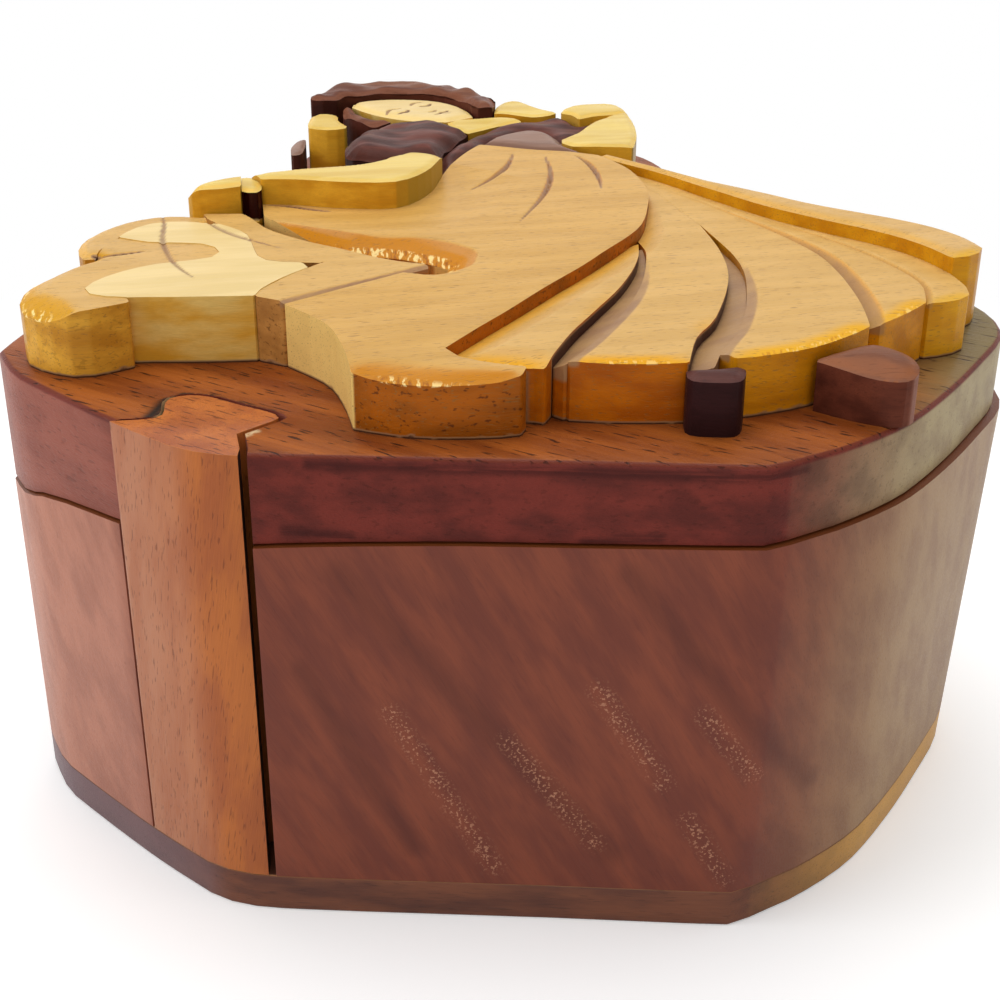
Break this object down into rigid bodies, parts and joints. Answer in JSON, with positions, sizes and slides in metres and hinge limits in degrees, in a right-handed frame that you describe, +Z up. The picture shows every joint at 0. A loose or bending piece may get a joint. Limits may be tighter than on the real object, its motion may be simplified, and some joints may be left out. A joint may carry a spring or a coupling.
{
  "type": "wooden puzzle box",
  "caption": "Wooden puzzle box with a sliding jigsaw-shaped key, a lid that slides back and a carved segmented relief of a dancer in a flared skirt.",
  "frame": {"origin": "centre of the footprint, on the underside of the base plate", "axes": "+Z up, -Y towards the front face seen in the picture, +X to the right of the front face"},
  "size_m": [0.1262, 0.1486, 0.0723],
  "materials": {
    "mahogany": "satin lacquer",
    "key_wood": "satin lacquer",
    "lid_wood": "satin lacquer",
    "honey_wood": "satin, rounded edges glossy",
    "amber_wood": "glossy",
    "cream_wood": "satin",
    "yellow_wood": "satin",
    "groove_wood": "burnt, matte",
    "shoe_wood": "satin",
    "dark_wood": "satin",
    "sash_wood": "satin",
    "hair_wood": "satin",
    "felt": "matte felt"
  },
  "bodies": {
    "box": {"base_plate": "mahogany", "box_body": "mahogany", "felt_floor": "felt"},
    "key": {"key": "key_wood"},
    "lid": {"lid_board": "lid_wood", "hem_front": "honey_wood", "hem_back": "honey_wood", "petticoat": "cream_wood", "skirt_fold": "honey_wood", "hollow_bed": "amber_wood", "skirt_main": "honey_wood", "skirt_panel_a": "honey_wood", "skirt_panel_b": "honey_wood", "skirt_panel_c": "honey_wood", "skirt_panel_d": "honey_wood", "skirt_panel_e": "honey_wood", "skirt_panel_f": "honey_wood", "groove_bed_a": "groove_wood", "groove_bed_b": "groove_wood", "shoe_left": "shoe_wood", "shoe_right": "shoe_wood", "sash": "sash_wood", "bodice": "dark_wood", "sleeve_left": "dark_wood", "arm_left": "yellow_wood", "cuff_left": "groove_wood", "hand_left": "yellow_wood", "arm_right_upper": "yellow_wood", "arm_right_fore": "yellow_wood", "shoulder_right": "yellow_wood", "neck": "yellow_wood", "face": "cream_wood", "hair": "hair_wood", "hair_lock": "hair_wood", "hair_flower": "yellow_wood", "ribbon": "sash_wood"}
  },
  "joints": [
    {"name": "key_slide", "type": "slide", "parent": "box", "child": "key", "axis": [0, 0, 1], "range_m": [0, 0.058]},
    {"name": "lid_slide", "type": "slide", "parent": "box", "child": "lid", "axis": [0, 1, 0], "range_m": [0, 0.132]}
  ]
}
